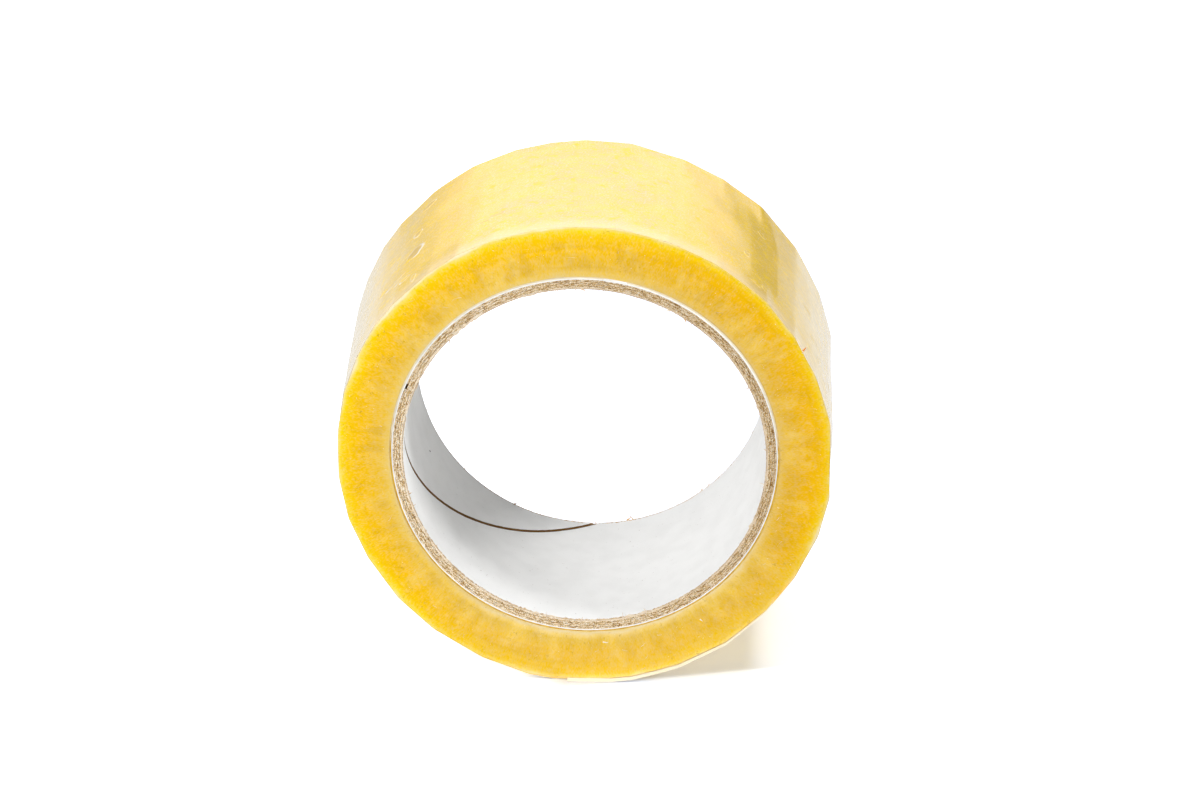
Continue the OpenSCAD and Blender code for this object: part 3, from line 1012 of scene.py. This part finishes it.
stage = {
    "floorSize": 6.0,
    # as it is seen, cool under the light of the tape, and as it lights the roll
    "floor": (1.13, 1.23, 1.48), "bounce": (246, 246, 246),
    "floorGlow": 0.02, "glowColour": (255, 236, 205), "glowWhite": (255, 255, 255), "glowRange": (0.3, 0.8),
    # the glow left of the foot, round it, right of it and before it
    "leftGlow": 1.0, "leftRange": (-0.003, -0.016), "sideGlow": 0.32, "sideRange": (0.061, 0.077),
    "rightGlow": 0.16, "rightRange": (0.033, 0.039),
    "frontGlow": 0.5, "frontRange": (-0.0262, -0.029), "frontLean": -0.26,
    "nearFloor": 0.88, "farFloor": 0.52, "floorRange": (0.22, 0.85),  # how bright it looks in the film, near and far
    "ambient": 0.1, "sky": 1.0,
}


def rayIsSeen(tree):
    path = addNode(tree, "LightPath")
    mirrored = path["Is Glossy Ray"].calc("MAXIMUM", path["Is Transmission Ray"])
    return path["Is Camera Ray"].calc("MAXIMUM", mirrored)


def addStage(name, verts, faces):
    mesh = bpy.data.meshes.new(name)
    mesh.from_pydata(verts, [], faces)
    thing = addObject(name, mesh)
    material = bpy.data.materials.new(name + "Paper")
    material.use_nodes = True
    material.node_tree.nodes.clear()
    mesh.materials.append(material)
    return thing, material.node_tree


def makeFloor():
    size, z = stage["floorSize"], floorZ * mm
    corners = [(-size, -size, z), (size, -size, z), (size, size, z), (-size, size, z)]
    floor, tree = addStage("floor", corners, [(0, 1, 2, 3)])
    seen, place = rayIsSeen(tree), objectPlace(tree)
    away, ways = vectorLength(place), splitXYZ(place)
    paper = mixColour(seen, stage["bounce"], (*stage["floor"], 1.0))
    # painted light: the glow is warm in what is left of the shadow, as light from the tape would be, and white further
    # off and beside the foot
    white = away.step(*stage["glowRange"], stage["floorGlow"], 1.0)
    sides = {"left": ways["X"], "side": away, "right": ways["X"], "front": ways["X"] * stage["frontLean"] + ways["Y"]}
    for side, value in sides.items():
        white = white.calc("MAXIMUM", value.step(*stage[side + "Range"], 0.0, stage[side + "Glow"]))
    colour = lay(stage["glowColour"], white, stage["glowWhite"], stage["floorGlow"], 0.1)
    lit = addNode(tree, "BsdfDiffuse", 0, {"Color": paper})
    glow = addNode(tree, "Emission", 0, {"Color": colour, "Strength": seen * white})
    both = addNode(tree, "AddShader", 0, {0: lit, 1: glow})
    # in the film the floor darkens with its distance, as it does beyond a pool of light
    dimmed = away.step(*stage["floorRange"], stage["nearFloor"], stage["farFloor"])
    far = addNode(tree, "Emission", 0, {"Strength": dimmed})
    mirrored = addNode(tree, "LightPath", "Is Glossy Ray")
    addNode(tree, "OutputMaterial", None, {"Surface": addNode(tree, "MixShader", 0, {0: mirrored, 1: both, 2: far})})
    return floor


def makeWorld():
    world = bpy.data.worlds.new("studio")
    bpy.context.scene.world = world
    world.use_nodes = True
    background = world.node_tree.nodes["Background"].inputs
    feed(background["Color"], (1.0, 1.0, 1.0, 1.0))
    feed(background["Strength"], (rayIsSeen(world.node_tree) * stage["sky"]).calc("MAXIMUM", stage["ambient"]))


backCard = {
    "radius": 1.6, "sideways": math.radians(75), "top": 1.1, "grid": (61, 25), "eyeZ": 0.036,
    "low": 0.42, "high": 0.9, "rise": (3.0, 13.0), "lean": 0.1,  # glow and the elevations it rises between, degrees
    "panel": 0.4, "panelRise": (7.0, 17.0), "panelLeft": (-32.0, -18.0), "panelRight": (26.0, 12.0),  # brighter middle
    "dark": 0.76, "darkSide": (11.0, 16.0), "darkRise": (5.8, 4.2),  # the gap in the backdrop on the right
}


# a curved backdrop, a strip of a cylinder, that only the film mirrors: it glows less towards the floor and has a
# dark gap low on the right
def makeBackCard():
    card, radius = backCard, backCard["radius"]
    nTurn, nRise = card["grid"]
    turn = np.linspace(-card["sideways"], card["sideways"], nTurn)[:, None]
    z = np.linspace(floorZ * mm, card["top"], nRise)[None, :]
    points = np.stack(np.broadcast_arrays(radius * np.sin(turn), radius * np.cos(turn), z), -1)
    faces = quads(np.arange(nTurn * nRise).reshape(nTurn, nRise))
    thing, tree = addStage("backCard", points.reshape(-1, 3).tolist(), faces.tolist())
    place = splitXYZ(objectPlace(tree))
    sideways = place["X"].calc("ARCTAN2", place["Y"]).calc("DEGREES")
    rise = ((place["Z"] - card["eyeZ"]) / radius).calc("ARCTANGENT").calc("DEGREES")
    level = (abs(sideways) * card["lean"] + rise).step(*card["rise"], card["low"], card["high"])
    bright = sideways.step(*card["panelLeft"]) * sideways.step(*card["panelRight"])
    level = level + rise.step(*card["panelRise"], 0.0, card["panel"]) * bright
    shown = sideways.step(*card["darkSide"]) * rise.step(*card["darkRise"]) * -card["dark"] + 1.0
    glow = addNode(tree, "Emission", 0, {"Strength": level * shown})
    addNode(tree, "OutputMaterial", None, {"Surface": glow})
    thing.visible_camera = thing.visible_diffuse = thing.visible_shadow = thing.visible_transmission = False


lamps = {
    # place, width, depth, power
    "key": ((-0.55, -0.90, 0.77), 0.32, 0.32, 14.0),
    "side": ((1.06, -0.20, 0.42), 0.24, 0.45, 6.4),
    # in line with the rim and narrow, so that they stay out of the bore
    "overhead": ((0.42, 0.0, 1.1), 0.06, 0.24, 3.3),
    "left": ((-0.75, 0.0, 0.95), 0.1, 0.12, 4.1),
    "back": ((0.1, 1.5, 0.06), 0.6, 0.2, 10.0),  # lights the back face only, and the film doesn't mirror it
}


def makeLamps(floor):
    for name, (place, width, depth, power) in lamps.items():
        data = bpy.data.lights.new(name, "AREA")
        data.shape = "RECTANGLE"
        data.energy, data.size, data.size_y = power, width, depth
        lamp = addObject(name, data)
        lamp.location = place
        lamp.rotation_euler = Vector(place).to_track_quat("Z", "Y").to_euler()
        lamp.visible_glossy = name != "back"
        if name == "key":  # the key leaves the floor out, so that the shadow is that of the other lamps
            lit = bpy.data.collections.new("litByKey")
            lit.objects.link(floor)
            lit.collection_objects[0].light_linking.link_state = "EXCLUDE"
            lamp.light_linking.receiver_collection = lit


camera = {
    "distance": 1.2097, "elevation": math.radians(24.34), "azimuth": math.radians(2.09),
    "focalPixels": 5674.0, "frame": (1200, 800), "centre": (588.0, 409.0),
    "sensor": 36.0, "clipStart": 0.05,
}


# the camera looks at the middle of the bore, which lies a little off the middle of the frame
def makeCamera():
    data = bpy.data.cameras.new("camera")
    wide, high = camera["frame"]
    data.sensor_width, data.clip_start = camera["sensor"], camera["clipStart"]
    data.lens = camera["focalPixels"] / wide * data.sensor_width
    data.shift_x = ((wide - 1) / 2 - camera["centre"][0]) / wide
    data.shift_y = (camera["centre"][1] - (high - 1) / 2) / wide
    view = addObject("camera", data)
    e, a, d = camera["elevation"], camera["azimuth"], camera["distance"]
    view.location = (d * math.sin(a) * math.cos(e), -d * math.cos(a) * math.cos(e), d * math.sin(e))
    view.rotation_euler = (math.pi / 2 - e, 0, a)
    bpy.context.scene.camera = view


makeLamps(makeFloor())
makeWorld()
makeBackCard()
makeCamera()
bpy.context.scene.view_settings.view_transform = "Standard"
print("studio made")
